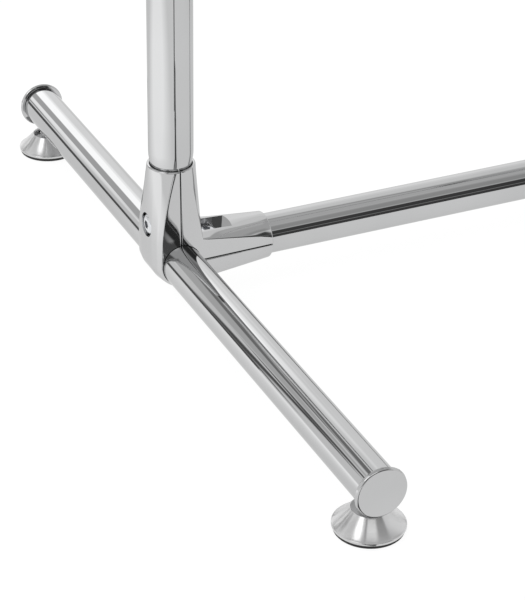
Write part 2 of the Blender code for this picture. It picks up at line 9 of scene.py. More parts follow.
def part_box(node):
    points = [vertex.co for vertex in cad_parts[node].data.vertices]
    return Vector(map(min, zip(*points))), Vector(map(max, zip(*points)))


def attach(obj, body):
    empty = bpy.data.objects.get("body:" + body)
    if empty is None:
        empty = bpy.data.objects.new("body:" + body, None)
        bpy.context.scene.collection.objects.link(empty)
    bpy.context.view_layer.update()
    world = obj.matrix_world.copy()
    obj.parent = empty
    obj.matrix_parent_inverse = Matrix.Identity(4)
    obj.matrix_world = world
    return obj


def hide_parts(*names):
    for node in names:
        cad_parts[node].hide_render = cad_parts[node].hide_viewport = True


# Smooth, finished pieces for a chrome valet stand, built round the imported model.
# Metres, +Z up, front is -Y.

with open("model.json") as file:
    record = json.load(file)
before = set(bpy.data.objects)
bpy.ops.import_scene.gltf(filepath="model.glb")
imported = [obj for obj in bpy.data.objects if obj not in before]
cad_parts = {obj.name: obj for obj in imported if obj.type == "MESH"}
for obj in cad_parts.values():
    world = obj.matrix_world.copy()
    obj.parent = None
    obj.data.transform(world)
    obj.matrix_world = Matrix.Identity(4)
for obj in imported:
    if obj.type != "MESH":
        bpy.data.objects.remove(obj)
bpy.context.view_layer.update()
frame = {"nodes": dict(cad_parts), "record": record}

RECORD = frame["record"]
BODY_OF = {node: body for body, nodes in RECORD["behaviour"]["bodies"].items() for node in nodes}
SLOT_OF = {part["node"]: part["material_slot"] for part in RECORD["subparts"]}
SIDES = (("left", 1), ("right", -1))
ENDS = (("front", -1), ("back", 1))

# Segments round a turned piece, the angles that count as edges, and the gap between neighbours
FINE = 96
MEDIUM = 64
SMALL = 40
SHARP = math.radians(32)
SOFT_ANGLE = math.radians(40)
GAP = 0.0003

# How cutting tools are turned, how far they pass a piece's outside, and how far one runs into the next
TOOL_TURN = math.radians(1.7)
BEYOND = 0.01
OVERLAP = 0.001


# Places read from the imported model, and sizes that the pieces share


def centre(node):
    low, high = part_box(node)
    return (low + high) / 2


def extent(node):
    low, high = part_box(node)
    return high - low


BASE_WIDTH = centre("base_tube_right").x - centre("base_tube_left").x
UPRIGHT_Y = centre("cross_tube").y
TUBE_AXIS = centre("cross_tube").z
TUBE_RADIUS = 0.0125
TUBE_WALL = 0.0015
UPRIGHT_RADIUS = 0.0135
UPRIGHT_WALL = 0.0012
UPPER_RADIUS = 0.0110
UPPER_WALL = 0.0012
SOCKET_END = 0.0615
SOCKET_START = 0.0360
BAR_RADIUS = 0.0060
BAR_WALL = 0.0012
POST_RADIUS = 0.0080
POST_WALL = 0.0015
SHOULDER_RADIUS = 0.0080
SHOULDER_WALL = 0.0012
RIM_EDGE = 0.0003

# M6 clamp and lock screws, M8 studs in the feet, M5 grub screws, and a hole through one wall
SCREW_RADIUS = 0.0030
SCREW_PITCH = 0.0010
SCREW_HOLE = 0.0033
STUD_RADIUS = 0.0040
STUD_PITCH = 0.00125
STUD_HOLE = 0.0045
GRUB_RADIUS = 0.0025
GRUB_PITCH = 0.0008
LOCK_HOLE = 0.0036
WALL_CUT = (0.006, 0.020)


# Studio. Directions are degrees: azimuth 0 is +Y (the back) and 90 is +X, elevation is above the horizon.
# Each patch is azimuth from, azimuth to, elevation from, elevation to, softness of its edge, radiance

DEGREES = 180 / math.pi
AZIMUTH_START = -88.0
ROOM_LEVEL = 0.95
FLOOR_LEVEL = -0.0001
FLOOR_GLOW = 0.92
# Centre of the pool of light painted into the floor's glow, to the left of the stand
PAINTED_POOL_CENTRE = (-0.60, 0.0, 0.0)
STUDIO_PATCHES = (
    (-9, 30, 2, 40, 6.0, 1.30),
    (-10, 22, 24, 37, 4.0, 1.60),
    (-10, 14, 27, 38.5, 2.5, 1.90),
    (28, 50, 0, 40, 4.0, 1.10),
    (20, 34, 0, 26, 3.0, 1.28),
    (-60, 60, 42, 54, 2.0, 1.00),
    (-100, 300, 58, 100, 2.5, 0.66),
    (60, 168, 36, 58, 3.0, 0.60),
    (128, 168, 35, 54, 4.0, 0.45),
    (240, 268, 36, 62, 3.0, 2.60),
    (218, 226, 38, 64, 1.5, 0.30),
    (172, 216, 44, 60, 2.5, 1.40),
    (136, 224, -5, 32, 2.5, 0.20),
    (136, 172, -5, 32, 2.5, 0.07),
    (130, 222, 13, 15, 0.7, 0.38),
    (-58, -43, 16, 34, 2.0, 0.42),
    (-87, -60, 30, 45, 3.0, 0.75),
    (-32, -9, 21, 35, 1.5, 0.66),
    (-31, -25, 6, 20, 1.5, 1.35),
    (-28, -23.5, 14, 22, 0.8, 1.50),
    (-30.5, -28, 7.5, 11, 0.7, 0.40),
    (-39.6, -37.0, -6, 21, 0.7, 0.12),
    (-37.6, -33.6, 20.5, 28.5, 0.8, 0.16),
    (-41, -27, -5, 4.3, 0.8, 0.28),
    (-21.5, -6, 34.7, 43.8, 0.8, 0.25),
    (-21, -5, 38.4, 39.8, 0.5, 0.60),
    (-6, 3, 37.0, 39, 0.8, 0.50),
    (30, 80, 59.5, 62, 0.8, 0.48),
)


# Mesh building


def add_object(name, data):
    added = bpy.data.objects.new(name, data)
    bpy.context.scene.collection.objects.link(added)
    return added


def new_object(name, mesh_data, matrix=None):
    bmesh.ops.recalc_face_normals(mesh_data, faces=mesh_data.faces)
    mesh = bpy.data.meshes.new(name)
    mesh_data.to_mesh(mesh)
    mesh_data.free()
    mesh.shade_smooth()
    mesh.set_sharp_from_angle(angle=SHARP)
    result = add_object(name, mesh)
    result.matrix_world = matrix or Matrix()
    return result


def carve(obj, tools, operation="DIFFERENCE"):
    """Boolean the tools' solids into the object one after another and keep the resulting mesh."""
    helpers = []
    for number, tool_data in enumerate(tools):
        helper = new_object(f"tool_{number}", tool_data, obj.matrix_world.copy())
        modifier = obj.modifiers.new(f"tool_{number}", "BOOLEAN")
        modifier.operation = operation
        modifier.solver = "EXACT"
        modifier.object = helper
        helpers.append(helper)
    bpy.context.view_layer.update()
    graph = bpy.context.evaluated_depsgraph_get()
    carved = bpy.data.meshes.new_from_object(obj.evaluated_get(graph))
    obj.modifiers.clear()
    before = obj.data
    obj.data = carved
    bpy.data.meshes.remove(before)
    carved.shade_smooth()
    carved.set_sharp_from_angle(angle=SHARP)
    for helper in helpers:
        bpy.data.objects.remove(helper)


def soften(obj, width):
    """Round the edges that a Boolean left sharp."""
    modifier = obj.modifiers.new("soft_edges", "BEVEL")
    modifier.width = width
    modifier.segments = 3
    modifier.limit_method = "ANGLE"
    modifier.angle_limit = SOFT_ANGLE
    modifier.harden_normals = True


def stand_for(obj, node):
    """The piece takes the node's place: its body, its slot and that slot's material."""
    obj.data.materials.clear()
    obj.data.materials.append(MATERIALS[SLOT_OF[node]])
    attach(obj, BODY_OF[node])
    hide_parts(node)


def piece(node, mesh_data, matrix=None, additions=(), cuts=(), softness=0.0):
    """The node's fine piece: the mesh with solids added, solids cut, and its edges then rounded."""
    obj = new_object(f"fine_{node}", mesh_data, matrix)
    if additions:
        carve(obj, additions, "UNION")
    if cuts:
        carve(obj, cuts)
    if softness:
        soften(obj, softness)
    stand_for(obj, node)


def along(axis, location=(0, 0, 0)):
    """The matrix that turns local +Z to the given direction and moves to the location."""
    turn = Vector(axis).to_track_quat("Z", "Y").to_matrix().to_4x4()
    return Matrix.Translation(location) @ turn


def round_angles(count):
    return [2 * math.pi * step / count for step in range(count)]


def revolve(profile, segments=FINE, closed=False, matrix=None):
    """Turn a (radius, height) outline about local Z. A closed outline makes a ring with a bore."""
    mesh_data = bmesh.new()
    matrix = matrix or Matrix()
    rings = []
    for radius, height in profile:
        count = segments if radius > 0 else 1
        angles = round_angles(segments)[:count]
        points = [(radius * math.cos(a), radius * math.sin(a), height) for a in angles]
        rings.append([mesh_data.verts.new(matrix @ Vector(point)) for point in points])
    pairs = list(zip(rings, rings[1:] + rings[:1] if closed else rings[1:]))
    for first, second in pairs:
        for step in range(segments):
            after = (step + 1) % segments
            corners = [first[step % len(first)], first[after % len(first)]]
            corners += [second[after % len(second)], second[step % len(second)]]
            corners = list(dict.fromkeys(corners))
            if len(corners) > 2:
                mesh_data.faces.new(corners)
    return mesh_data


def rod(radius, bottom, top, segments=SMALL, matrix=None):
    """A cylinder for cutting, turned a little so that its edges miss those of the piece."""
    turned = (matrix or Matrix()) @ Matrix.Rotation(TOOL_TURN, 4, "Z")
    return revolve([(0, bottom), (radius, bottom), (radius, top), (0, top)], segments, False, turned)


def arc(centre_point, radius, start, end, steps):
    """(u, v) points on an arc, angles in degrees."""
    u, v = centre_point
    angles = [math.radians(start + (end - start) * step / steps) for step in range(steps + 1)]
    return [(u + radius * math.cos(a), v + radius * math.sin(a)) for a in angles]


def top_rim(radius, top, edge, steps):
    """The rounded rim of an outline that goes up and then in."""
    return arc((radius - edge, top - edge), edge, 0, 90, steps)


def bottom_rim(radius, bottom, edge, steps):
    """The rounded rim of an outline that goes out and then up."""
    return arc((radius - edge, bottom + edge), edge, -90, 0, steps)


def tube_outline(outer, inner, bottom, top):
    """Closed section of a tube's wall, with a small radius on both outer rims.

    A ring of points behind each rim keeps the shading of the long wall straight.
    """
    outline = [(inner, bottom)] + bottom_rim(outer, bottom, RIM_EDGE, 3)
    outline += [(outer, bottom + 2 * RIM_EDGE), (outer, top - 2 * RIM_EDGE)]
    return outline + top_rim(outer, top, RIM_EDGE, 3) + [(inner, top)]


def bridge(mesh_data, first, second):
    """Faces between two rings of equal length."""
    for index in range(len(first)):
        after = (index + 1) % len(first)
        mesh_data.faces.new([first[index], first[after], second[after], second[index]])


def grid(rings, matrix=None):
    """Skin rings of equal length and close both ends."""
    mesh_data = bmesh.new()
    matrix = matrix or Matrix()
    placed = [[mesh_data.verts.new(matrix @ Vector(point)) for point in points] for points in rings]
    for first, second in zip(placed, placed[1:]):
        bridge(mesh_data, first, second)
    mesh_data.faces.new(list(reversed(placed[0])))
    mesh_data.faces.new(placed[-1])
    return mesh_data


def bent_tube(path, outer, inner):
    """A tube along a path in space, open through its bore."""
    mesh_data = bmesh.new()
    angles = round_angles(MEDIUM)
    rows = {outer: [], inner: []}
    for index, point in enumerate(path):
        before = path[max(index - 1, 0)]
        after = path[min(index + 1, len(path) - 1)]
        tangent = (after - before).normalized()
        side = tangent.cross(Vector((0, 1, 0))).normalized()
        other = tangent.cross(side)
        for radius in (outer, inner):
            places = [point + radius * (math.cos(a) * side + math.sin(a) * other) for a in angles]
            rows[radius].append([mesh_data.verts.new(place) for place in places])
    pairs = list(zip(rows[outer], rows[outer][1:])) + list(zip(rows[inner], rows[inner][1:]))
    pairs += [(rows[outer][0], rows[inner][0]), (rows[outer][-1], rows[inner][-1])]
    for first, second in pairs:
        bridge(mesh_data, first, second)
    return mesh_data


def polygon(count, radius):
    return [(radius * math.cos(a), radius * math.sin(a)) for a in round_angles(count)]


def prism(corners, bottom, top, matrix=None):
    low = [(x, y, bottom) for x, y in corners]
    high = [(x, y, top) for x, y in corners]
    return grid([low, high], matrix)


# A thread's depth as a share of its pitch, rings per pitch, and the groove's slope and its crest's share
THREAD_DEPTH = 0.54
THREAD_RINGS = 8
THREAD_SLOPE = 1.25
THREAD_CREST = 0.12


def threaded_rod(radius, pitch, bottom, top):
    """A rod with a helical thread cut into it, and a chamfer at both ends."""
    depth = THREAD_DEPTH * pitch
    steps = max(2, round((top - bottom) / pitch * THREAD_RINGS))
    rings = []
    for step in range(steps + 1):
        height = bottom + (top - bottom) * step / steps
        room = min(height - bottom, top - height)
        limit = radius - depth + room
        ring = []
        for part in range(SMALL):
            turn = part / SMALL
            phase = (height / pitch - turn) % 1.0
            groove = min(1.0, max(0.0, THREAD_SLOPE * (1 - abs(2 * phase - 1)) - THREAD_CREST))
            reach = min(radius - depth * groove, limit)
            angle = 2 * math.pi * turn
            ring.append((reach * math.cos(angle), reach * math.sin(angle), height))
        rings.append(ring)
    return grid(rings)


# Materials


def supply(tree, target, value):
    """Link another node's socket to the target, or set the target to a number or colour."""
    if isinstance(value, bpy.types.NodeSocket):
        tree.links.new(value, target)
    else:
        target.default_value = value


def node(tree, kind, **inputs):
    made = tree.nodes.new(kind)
    for name, value in inputs.items():
        supply(tree, made.inputs[name.replace("_", " ")], value)
    return made


def start_material(name, metallic):
    material = bpy.data.materials.new(name)
    material.use_nodes = True
    tree = material.node_tree
    shader = tree.nodes["Principled BSDF"]
    shader.inputs["Metallic"].default_value = metallic
    where = tree.nodes.new("ShaderNodeTexCoord").outputs["Object"]
    return material, tree, shader, where


def noise(tree, where, scale, detail=3.0, stretch=(1, 1, 1)):
    mapped = node(tree, "ShaderNodeMapping", Vector=where, Scale=stretch)
    made = node(tree, "ShaderNodeTexNoise", Vector=mapped.outputs[0], Scale=scale, Detail=detail)
    return made.outputs["Fac"]


def remap(tree, value, low=0.0, high=1.0, start=0.3, end=0.7):
    """Stretch the values between start and end to those between low and high."""
    limits = {"From_Min": start, "From_Max": end, "To_Min": low, "To_Max": high}
    return node(tree, "ShaderNodeMapRange", Value=value, **limits).outputs[0]


def arithmetic(tree, operation, first, second):
    made = tree.nodes.new("ShaderNodeMath")
    made.operation = operation
    for index, value in enumerate((first, second)):
        supply(tree, made.inputs[index], value)
    return made.outputs[0]


def blend_colours(tree, factor, first, second):
    made = tree.nodes.new("ShaderNodeMix")
    made.data_type = "RGBA"
    tree.links.new(factor, made.inputs[0])
    made.inputs[6].default_value = (*first, 1)
    made.inputs[7].default_value = (*second, 1)
    return made.outputs[2]


def dress(tree, shader, colour, level, height, distance):
    """Join a colour, a roughness and a relief of the given depth to the shader."""
    bump = node(tree, "ShaderNodeBump", Height=height, Strength=1.0, Distance=distance)
    for name, source in (("Base Color", colour), ("Roughness", level), ("Normal", bump.outputs[0])):
        tree.links.new(source, shader.inputs[name])


def plated(name, dark, bright, rough, wave_scale, wave_height, line_height):
    """Chrome plate with a long polishing grain, faint smears, fine scratches and slight waves."""
    material, tree, shader, where = start_material(name, 1.0)
    shader.inputs["Specular Tint"].default_value = (0.80, 0.80, 0.80, 1)
    smear = noise(tree, where, scale=14.0, detail=4.0)
    grain = noise(tree, where, scale=1400.0, detail=2.0, stretch=(1, 1, 0.012))
    scratch = noise(tree, where, scale=420.0, detail=2.0, stretch=(1, 0.03, 1))
    marks = remap(tree, scratch, low=0.0, high=0.05, start=0.70, end=0.78)
    colour = blend_colours(tree, remap(tree, smear), dark, bright)
    level = arithmetic(tree, "ADD", remap(tree, smear, rough[0], rough[1]), marks)
    level = arithmetic(tree, "ADD", level, remap(tree, grain, low=0.0, high=0.012))
    unevenness = noise(tree, where, scale=wave_scale, detail=1.0)
    wave = arithmetic(tree, "MULTIPLY", unevenness, wave_height)
    lines = arithmetic(tree, "MULTIPLY", grain, line_height)
    dress(tree, shader, colour, level, arithmetic(tree, "ADD", wave, lines), 1.0)
    return material


def turned_metal(name):
    """Satin aluminium with the rings that a lathe leaves round the piece's own axis."""
    material, tree, shader, where = start_material(name, 1.0)
    apart = node(tree, "ShaderNodeSeparateXYZ", Vector=where)
    flat = node(tree, "ShaderNodeCombineXYZ", X=apart.outputs[0], Y=apart.outputs[1])
    length = tree.nodes.new("ShaderNodeVectorMath")
    length.operation = "LENGTH"
    tree.links.new(flat.outputs[0], length.inputs[0])
    across = node(tree, "ShaderNodeCombineXYZ", X=length.outputs["Value"], Y=apart.outputs[2])
    rings = noise(tree, across.outputs[0], scale=3800.0, detail=3.0)
    stain = noise(tree, where, scale=90.0, detail=3.0)
    dark, bright = (0.56, 0.56, 0.56), (0.64, 0.64, 0.645)
    colour = blend_colours(tree, remap(tree, stain), dark, bright)
    ring_marks = remap(tree, rings, low=0.17, high=0.24)
    level = arithmetic(tree, "ADD", ring_marks, remap(tree, stain, low=0.0, high=0.04))
    shader.inputs["Anisotropic"].default_value = 0.92
    shader.inputs["Anisotropic Rotation"].default_value = 0.25
    tangent = tree.nodes.new("ShaderNodeTangent")
    tangent.direction_type = "RADIAL"
    tangent.axis = "Z"
    tree.links.new(tangent.outputs[0], shader.inputs["Tangent"])
    dress(tree, shader, colour, level, rings, 0.000004)
    return material


def zinc_plate(name):
    material, tree, shader, where = start_material(name, 1.0)
    cloud = noise(tree, where, scale=260.0, detail=4.0)
    dark, bright = (0.52, 0.53, 0.55), (0.68, 0.69, 0.70)
    colour = blend_colours(tree, remap(tree, cloud), dark, bright)
    level = remap(tree, cloud, low=0.14, high=0.30)
    dress(tree, shader, colour, level, noise(tree, where, scale=1900.0, detail=3.0), 0.000008)
    return material


def moulded(name, dark, bright, rough, grain_scale, grain_height):
    """Moulded black rubber or plastic with a fine grain and a little dust."""
    material, tree, shader, where = start_material(name, 0.0)
    dust = noise(tree, where, scale=70.0, detail=5.0)
    grain = noise(tree, where, scale=grain_scale, detail=2.0)
    cover = remap(tree, dust, start=0.45, end=0.75)
    colour = blend_colours(tree, cover, dark, bright)
    dusty = remap(tree, dust, rough[0], rough[1])
    level = arithmetic(tree, "ADD", dusty, remap(tree, grain, low=0.0, high=0.06))
    dress(tree, shader, colour, level, grain, grain_height)
    return material


MATERIALS = {
    "chrome_tube": plated(
        "chrome_tube",
        dark=(0.490, 0.493, 0.496), bright=(0.520, 0.523, 0.526), rough=(0.020, 0.035),
        wave_scale=30.0, wave_height=1.6e-5, line_height=5e-7,
    ),
    "cast_chrome": plated(
        "cast_chrome",
        dark=(0.485, 0.487, 0.490), bright=(0.525, 0.527, 0.530), rough=(0.030, 0.055),
        wave_scale=120.0, wave_height=6e-6, line_height=0.0,
    ),
    "turned_aluminium": turned_metal("turned_aluminium"),
    "zinc_steel": zinc_plate("zinc_steel"),
    "black_rubber": moulded(
        "black_rubber",
        dark=(0.012, 0.012, 0.012), bright=(0.035, 0.034, 0.033), rough=(0.62, 0.80),
        grain_scale=2600.0, grain_height=2e-5,
    ),
    "black_plastic": moulded(
        "black_plastic",
        dark=(0.014, 0.014, 0.015), bright=(0.030, 0.030, 0.031), rough=(0.34, 0.46),
        grain_scale=1700.0, grain_height=1.2e-5,
    ),
}


# Base tubes, end caps and levelling feet


def make_base_tube(side):
    name = f"base_tube_{side}"
    half = extent(name).y / 2
    outline = tube_outline(TUBE_RADIUS, TUBE_RADIUS - TUBE_WALL, -half, half)
    matrix = along((0, 1, 0), centre(name))
    holes = []
    for place, _ in ENDS:
        foot = centre(f"foot_stud_{place}_{side}")
        down = matrix.inverted() @ along((0, 0, -1), (foot.x, foot.y, centre(name).z))
        holes.append(rod(STUD_HOLE, *WALL_CUT, SMALL, down))
    piece(name, revolve(outline, FINE, True), matrix, cuts=holes)


def make_end_cap(place, side, end):
    """Button with a flat face, a rounded edge and a spigot behind."""
    name = f"end_cap_{place}_{side}"
    flange, thickness = 0.0150, 0.0030
    spigot, depth = 0.005, 0.003
    back, back_edge = flange - 0.0009, 0.0006
    crown, edge = 0.0002, 0.0013
    face = flange - crown - edge
    outline = [(0, -depth), (spigot, -depth), (spigot, GAP), (back, GAP)]
    outline += arc((back, GAP + back_edge), back_edge, -90, -20, 5)
    outline += [(flange - 0.0001, 0.0010), (flange, 0.0013), (flange - 0.0001, 0.0016)]
    outline += arc((face, thickness - edge), edge, 12, 90, 12)
    outline += [(face - 0.0003, thickness), (0, thickness)]
    low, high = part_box(name)
    tube = centre(f"base_tube_{side}")
    reach = low.y + thickness if end < 0 else high.y - thickness
    piece(name, revolve(outline, FINE), along((0, end, 0), (tube.x, reach, tube.z)))


def foot_axis(place, side):
    """The place on the floor under the foot."""
    spot = centre(f"foot_cone_{place}_{side}")
    return Matrix.Translation((spot.x, spot.y, 0))


def make_foot_cone(place, side):
    """Turned cone with a narrow rim, a flat top, a small collar and a blind bore for the stud."""
    name = f"foot_cone_{place}_{side}"
    low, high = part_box(name)
    rim = extent(name).x / 2
    bottom, collar_top = low.z, high.z
    shoulder = collar_top - 0.0016
    rim_edge, upper_edge = 0.0004, 0.0005
    collar, bore, bore_floor = 0.0050, 0.0043, 0.0057
    outline = [(0, bottom), (rim - rim_edge, bottom)]
    outline += bottom_rim(rim, bottom, rim_edge, 4)[1:]
    outline += arc((rim - upper_edge, bottom + 0.0012), upper_edge, 0, 75, 4)
    outline += [(0.0185, bottom + 0.0023), (0.0150, bottom + 0.0056), (0.0120, bottom + 0.0089)]
    outline += arc((0.0104 - upper_edge, shoulder - upper_edge), upper_edge, 30, 90, 4)
    outline += [(0.0054, shoulder), (collar, shoulder + 0.0003), (collar, collar_top - 0.0003)]
    outline += [(0.0047, collar_top), (bore, collar_top), (bore, bore_floor), (0, bore_floor)]
    piece(name, revolve(outline, FINE), foot_axis(place, side))


def make_foot_pad(place, side):
    """Rubber disc with a rounded rim, and a recess and a groove underneath."""
    name = f"foot_pad_{place}_{side}"
    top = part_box(name)[1].z
    radius = extent(name).x / 2
    lift, lower_edge, upper_edge = 0.0004, 0.0006, 0.0003
    outline = [(0, lift), (0.0060, lift), (0.0064, 0), (0.0110, 0), (0.0114, lift)]
    outline += [(0.0136, lift), (0.0140, 0), (radius - lower_edge, 0)]
    outline += bottom_rim(radius, 0, lower_edge, 5)[1:]
    outline += top_rim(radius, top, upper_edge, 3) + [(0, top)]
    piece(name, revolve(outline, FINE), foot_axis(place, side))


def make_foot_stud(place, side):
    name = f"foot_stud_{place}_{side}"
    low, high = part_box(name)
    thread = threaded_rod(STUD_RADIUS, STUD_PITCH, low.z, high.z)
    piece(name, thread, foot_axis(place, side))


# Base connector: two die-cast shells. Distances run from the crossing of the three tube axes

FRONT_FACE = 0.0158
CREASE = 0.0142
INNER_FLAT = 0.0156
OUTER_FACE = 0.0164
OUTER_CORNER = 0.0156
WING_LIP = 0.0170
RIM_RADIUS = 0.0146
ROOT = 0.0150
SEAM_LEAD = 0.0003
FACE_LEAD = FRONT_FACE - 0.0005
RIM_LEAD = RIM_RADIUS - 0.0004
SEAT_DEPTH = 0.0083
SIDE_SEAT = 0.0125
SCREW_OFFSET = 0.0230
NUT_FLOOR = 0.0110
HOLE_START = -0.002
SEAM = 0.00035
CORNER = 0.0007
LARGEST_INSET = 0.42
SHORTEST = 1e-4
EDGE_STEPS = 6
CORNER_STEPS = 4
END_ROUND = 0.0008
END_STEPS = 4
NUT_SEGMENTS = 72
EASE = 1.4


def corner_inset(length):
    """The share of a stretch that its rounded corner takes."""
    return min(LARGEST_INSET, CORNER / length)


def stations(lengths):
    """(stretch, share) pairs that crowd round each corner between stretches of the given lengths."""
    result = []
    last = len(lengths) - 1
    for index, length in enumerate(lengths):
        inset = corner_inset(length)
        start = 0 if index == 0 else inset
        end = 1 if index == last else 1 - inset
        for step in range(EDGE_STEPS + 1):
            result.append((index, start + (end - start) * step / EDGE_STEPS))
        if index < last:
            result += [(index, 1 + step / CORNER_STEPS) for step in range(1, CORNER_STEPS)]
    return result


def filleted(points):
    """Points along a polyline whose corners are rounded."""
    places = [Vector(point) for point in points]
    lengths = [(b - a).length for a, b in zip(places, places[1:])]
    result = []
    for index, share in stations(lengths):
        start, end = places[index], places[index + 1]
        if share <= 1:
            result.append(tuple(start.lerp(end, share)))
            continue
        enter = start.lerp(end, 1 - corner_inset(lengths[index]))
        leave = end.lerp(places[index + 2], corner_inset(lengths[index + 1]))
        weight = share - 1
        result.append(tuple(enter.lerp(end, weight).lerp(end.lerp(leave, weight), weight)))
    return result


def round_rim(angles):
    """Points on the socket's round rim that match those of a filleted polyline."""
    controls = [(RIM_LEAD, math.asin(SEAM / RIM_LEAD))] + [(RIM_RADIUS, math.radians(a)) for a in angles]
    lengths = [max(SHORTEST, RIM_RADIUS * (b[1] - a[1])) for a, b in zip(controls, controls[1:])]
    result = []
    for index, share in stations(lengths):
        first, second = controls[index], controls[index + 1]
        turn = second[1] - first[1]
        if share > 1:
            angle_in = second[1] - corner_inset(lengths[index]) * turn
            angle_out = second[1] + corner_inset(lengths[index + 1]) * (controls[index + 2][1] - second[1])
            angle = angle_in + (angle_out - angle_in) * (share - 1)
            radius = RIM_RADIUS
        else:
            angle = first[1] + turn * share
            radius = first[0] + (second[0] - first[0]) * share
        result.append((radius * math.cos(angle), radius * math.sin(angle)))
    return result


def mixed(first, second, weight):
    return [(a + (c - a) * weight, b + (d - b) * weight) for (a, b), (c, d) in zip(first, second)]


def both_sides(half):
    """Mirror a front half section, given from the seam to the middle, to the back."""
    return [(-y, h) for y, h in half] + [(y, h) for y, h in reversed(half[:-1])]


def end_rings(section):
    """(section, distance from the socket's end) pairs that round the socket's outer edge."""
    result = []
    for step in range(END_STEPS + 1):
        turn = math.radians(90 * step / END_STEPS)
        shrink = 1 - END_ROUND * (1 - math.sin(turn)) / RIM_RADIUS
        back = END_ROUND * (1 - math.cos(turn))
        result.append(([(y * shrink, h * shrink) for y, h in section], back))
    return result


def inner_shell_rings():
    """From the upright's rim through the mitre of the L to the cross tube's rim."""
    root = [(FACE_LEAD, SEAM), (FRONT_FACE, SEAM + SEAM_LEAD), (FRONT_FACE, CREASE)]
    root += [(0.0098, INNER_FLAT), (0, INNER_FLAT)]
    root = filleted(root)
    rim = round_rim((1.9, 24, 61, 90))
    first = [[Vector((h, y, SOCKET_END - back)) for y, h in both_sides(s)] for s, back in end_rings(rim)]
    last = [[Vector((SOCKET_END - back, y, h)) for y, h in both_sides(s)] for s, back in end_rings(rim)]
    mitre = [Vector((h, y, h)) for y, h in both_sides(root)]
    steps = 10
    rings = list(first)
    for step in range(1, steps):
        rings.append([a.lerp(b, step / steps) for a, b in zip(first[-1], mitre)])
    rings.append(mitre)
    for step in range(1, steps):
        rings.append([a.lerp(b, step / steps) for a, b in zip(mitre, last[-1])])
    return rings + list(reversed(last))


def outer_shell_rings():
    """From the upright's rim, round the outside of the base tube, to the cross tube's rim."""
    web = 0.0155
    root = [(FACE_LEAD, SEAM), (FRONT_FACE, SEAM + SEAM_LEAD), (web, 0.0120), (web, 0.0124)]
    root += [(WING_LIP, 0.0127), (0.0146, 0.0154), (0.0080, OUTER_FACE), (0, OUTER_FACE)]
    root = filleted(root)
    rim = round_rim((1.9, 13, 14, 16, 40, 65, 90))
    rings = []
    for section, back in end_rings(rim):
        rings.append([(-h, y, SOCKET_END - back) for y, h in both_sides(section)])
    steps = 20
    for step in range(1, steps + 1):
        share = 1 - step / steps
        height = ROOT + (SOCKET_END - END_ROUND - ROOT) * share
        rings.append([(-h, y, height) for y, h in both_sides(mixed(root, rim, share**EASE))])
    for angle in range(0, 91, 5):
        bulge = (OUTER_FACE - OUTER_CORNER) * math.cos(math.radians(2 * angle)) ** 2
        outside = OUTER_CORNER + bulge
        wrap = [(WING_LIP - 0.0005, 0.0015), (WING_LIP - 0.0002, 0.0018), (WING_LIP, 0.0110)]
        wrap += [(WING_LIP, 0.0118), (WING_LIP, 0.0137)]
        wrap += [(0.0146, outside - 0.0010), (0.0080, outside), (0, outside)]
        turn = math.radians(angle)
        section = both_sides(filleted(wrap))
        rings.append([(-h * math.cos(turn), y, -h * math.sin(turn)) for y, h in section])
    cross = [(FACE_LEAD, SEAM), (FRONT_FACE, SEAM + SEAM_LEAD), (FRONT_FACE, 0.0050), (FRONT_FACE, 0.0070)]
    cross += [(0.0152, 0.0105), (0.0130, 0.0140), (0.0080, OUTER_FACE), (0, OUTER_FACE)]
    cross = filleted(cross)
    rim = round_rim((1.9, 12, 22, 38, 54, 70, 90))
    steps = 12
    for step in range(steps):
        reach = ROOT + (SOCKET_END - END_ROUND - ROOT) * step / steps
        rings.append([(reach, y, -h) for y, h in both_sides(mixed(cross, rim, step / steps))])
    for section, back in reversed(end_rings(rim)):
        rings.append([(SOCKET_END - back, y, -h) for y, h in both_sides(section)])
    return rings


def socket_bore(matrix):
    """Room for a tube in a socket, with a rounded mouth."""
    bore = TUBE_RADIUS + GAP
    edge = 0.0005
    mouth = arc((bore + edge, SOCKET_END - edge), edge, 180, 90, 5)
    outline = [(0, SOCKET_START), (bore, SOCKET_START)] + mouth
    outline += [(bore + edge, SOCKET_END + BEYOND), (0, SOCKET_END + BEYOND)]
    return revolve(outline, FINE, False, matrix)


def tube_bores():
    bore, half = TUBE_RADIUS + GAP, 0.04
    base = rod(bore, -half, half, FINE, along((0, 1, 0)))
    return [base, socket_bore(Matrix()), socket_bore(along((1, 0, 0)))]


def outer_shell_tools():
    """The tubes' bores, the side screw's counterbored hole, and the top screw's hole and nut seat."""
    counterbore, nut_seat, outside = 0.0075, 0.0061, 0.03
    depth = [(0, HOLE_START), (SCREW_HOLE, HOLE_START), (SCREW_HOLE, SIDE_SEAT)]
    depth += [(counterbore, SIDE_SEAT), (counterbore, outside), (0, outside)]
    side = revolve(depth, MEDIUM, False, along((-1, 0, 0), (0, 0, SCREW_OFFSET)))
    down = along((0, 0, -1), (SCREW_OFFSET, 0, 0))
    nut = prism(polygon(6, nut_seat), NUT_FLOOR, outside, down)
    hole = rod(SCREW_HOLE, HOLE_START, NUT_FLOOR + OVERLAP, SMALL, down)
    return tube_bores() + [side, hole, nut]


def pocket(swap):
    """The open pocket in one arm, with rounded bottom corners."""
    corner, width, outside = 0.0010, 0.0146, 0.0300
    outline = arc((0.0165, SEAT_DEPTH + corner), corner, 180, 270, 4)
    outline += arc((0.0295, SEAT_DEPTH + corner), corner, 270, 317, 3)
    outline += [(0.0537, outside), (0.0155, outside)]
    across = Matrix(((1, 0, 0, 0), (0, 0, 1, -width / 2), (0, 1, 0, 0), (0, 0, 0, 1)))
    return prism(outline, 0, width, swap @ across)


